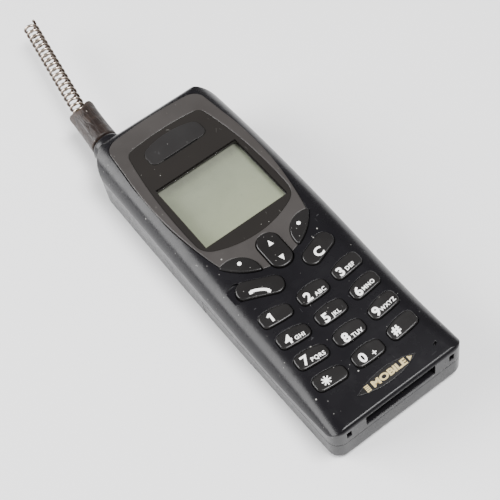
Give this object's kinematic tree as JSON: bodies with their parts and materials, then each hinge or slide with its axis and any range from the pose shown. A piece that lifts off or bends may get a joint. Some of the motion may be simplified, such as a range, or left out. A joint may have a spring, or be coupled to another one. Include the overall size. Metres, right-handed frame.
{
  "type": "mobile phone",
  "caption": "Bar-shaped candybar mobile phone with domed display window, rubber keys, slide-off battery pack and a stub antenna worn down to its bare coil spring.",
  "frame": {"origin": "middle of the flat back, in the plane that the phone rests on", "axes": "+X to the phone's right seen from the front, +Y along the phone towards the antenna, +Z out of the face"},
  "size_m": [0.0524, 0.2171, 0.0229],
  "materials": {
    "cover": "satin",
    "bezel": "satin",
    "lens": "gloss",
    "insert": "satin",
    "plate": "gloss with gold print",
    "key": "satin gloss",
    "silicone": "matte",
    "board": "satin solder mask",
    "shield": "tinned",
    "chip": "matte",
    "guide": "clear",
    "lcd": "grey-green",
    "lcd_frame": "matte",
    "gasket": "matte",
    "gold": "gold plated",
    "steel": "satin",
    "cell": "satin",
    "sheath": "worn matte",
    "spring": "bronzed wire"
  },
  "bodies": {
    "handset": {"front_cover": "cover", "display_bezel": "bezel", "display_lens": "lens", "earpiece_insert": "insert", "name_plate": "plate", "keypad_mat": "silicone", "circuit_board": "board", "radio_shield": "shield", "processor_shield": "shield", "chips": "chip", "light_guide": "guide", "lcd_glass": "lcd", "lcd_frame": "lcd_frame", "earpiece_speaker": "chip", "speaker_gasket": "gasket", "microphone": "shield", "microphone_boot": "gasket", "buzzer": "chip", "system_connector": "chip", "connector_contacts": "gold", "rear_cover": "cover", "cover_screws": "steel", "battery_contacts": "gold", "antenna_socket": "gold"},
    "battery": {"battery_housing": "cover", "battery_cover": "cover", "battery_cells": "cell", "battery_terminals": "gold"},
    "battery_latch": {"battery_latch": "cover"},
    "antenna": {"antenna_stud": "gold", "antenna_sheath": "sheath", "antenna_spring": "spring"},
    "key_1": {"key_1": "key"},
    "key_2": {"key_2": "key"},
    "key_3": {"key_3": "key"},
    "key_4": {"key_4": "key"},
    "key_5": {"key_5": "key"},
    "key_6": {"key_6": "key"},
    "key_7": {"key_7": "key"},
    "key_8": {"key_8": "key"},
    "key_9": {"key_9": "key"},
    "key_star": {"key_star": "key"},
    "key_0": {"key_0": "key"},
    "key_hash": {"key_hash": "key"},
    "key_call": {"key_call": "key"},
    "key_clear": {"key_clear": "key"},
    "soft_key_left": {"soft_key_left": "key"},
    "soft_key_right": {"soft_key_right": "key"},
    "scroll_key": {"scroll_key": "key"}
  },
  "joints": [
    {"name": "key_1_press", "type": "slide", "parent": "handset", "child": "key_1", "axis": [0, 0.0675, -0.9977], "range_m": [0, 0.0005], "stiffness_N_per_m": 400},
    {"name": "key_2_press", "type": "slide", "parent": "handset", "child": "key_2", "axis": [0, 0.0675, -0.9977], "range_m": [0, 0.0005], "stiffness_N_per_m": 400},
    {"name": "key_3_press", "type": "slide", "parent": "handset", "child": "key_3", "axis": [0, 0.0675, -0.9977], "range_m": [0, 0.0005], "stiffness_N_per_m": 400},
    {"name": "key_4_press", "type": "slide", "parent": "handset", "child": "key_4", "axis": [0, 0.0675, -0.9977], "range_m": [0, 0.0005], "stiffness_N_per_m": 400},
    {"name": "key_5_press", "type": "slide", "parent": "handset", "child": "key_5", "axis": [0, 0.0675, -0.9977], "range_m": [0, 0.0005], "stiffness_N_per_m": 400},
    {"name": "key_6_press", "type": "slide", "parent": "handset", "child": "key_6", "axis": [0, 0.0675, -0.9977], "range_m": [0, 0.0005], "stiffness_N_per_m": 400},
    {"name": "key_7_press", "type": "slide", "parent": "handset", "child": "key_7", "axis": [0, 0.0675, -0.9977], "range_m": [0, 0.0005], "stiffness_N_per_m": 400},
    {"name": "key_8_press", "type": "slide", "parent": "handset", "child": "key_8", "axis": [0, 0.0675, -0.9977], "range_m": [0, 0.0005], "stiffness_N_per_m": 400},
    {"name": "key_9_press", "type": "slide", "parent": "handset", "child": "key_9", "axis": [0, 0.0675, -0.9977], "range_m": [0, 0.0005], "stiffness_N_per_m": 400},
    {"name": "key_star_press", "type": "slide", "parent": "handset", "child": "key_star", "axis": [0, 0.0675, -0.9977], "range_m": [0, 0.0005], "stiffness_N_per_m": 400},
    {"name": "key_0_press", "type": "slide", "parent": "handset", "child": "key_0", "axis": [0, 0.0675, -0.9977], "range_m": [0, 0.0005], "stiffness_N_per_m": 400},
    {"name": "key_hash_press", "type": "slide", "parent": "handset", "child": "key_hash", "axis": [0, 0.0675, -0.9977], "range_m": [0, 0.0005], "stiffness_N_per_m": 400},
    {"name": "key_call_press", "type": "slide", "parent": "handset", "child": "key_call", "axis": [0, 0.0675, -0.9977], "range_m": [0, 0.0005], "stiffness_N_per_m": 400},
    {"name": "key_clear_press", "type": "slide", "parent": "handset", "child": "key_clear", "axis": [0, 0.0675, -0.9977], "range_m": [0, 0.0005], "stiffness_N_per_m": 400},
    {"name": "soft_key_left_press", "type": "slide", "parent": "handset", "child": "soft_key_left", "axis": [0, 0.0675, -0.9977], "range_m": [0, 0.0005], "stiffness_N_per_m": 400},
    {"name": "soft_key_right_press", "type": "slide", "parent": "handset", "child": "soft_key_right", "axis": [0, 0.0675, -0.9977], "range_m": [0, 0.0005], "stiffness_N_per_m": 400},
    {"name": "scroll_key_rock", "type": "hinge", "parent": "handset", "child": "scroll_key", "pos_m": [0, -0.00751, 0.01805], "axis": [1, 0, 0], "range_deg": [-3, 3], "stiffness_Nm_per_rad": 0.02},
    {"name": "battery_slide", "type": "slide", "parent": "handset", "child": "battery", "axis": [0, -1, 0], "range_m": [0, 0.006]},
    {"name": "battery_latch_slide", "type": "slide", "parent": "handset", "child": "battery_latch", "axis": [0, 1, 0], "range_m": [0, 0.002], "stiffness_N_per_m": 300},
    {"name": "antenna_turn", "type": "hinge", "parent": "handset", "child": "antenna", "pos_m": [-0.0159, 0.0741, 0.0125], "axis": [0, 1, 0], "continuous": true}
  ]
}
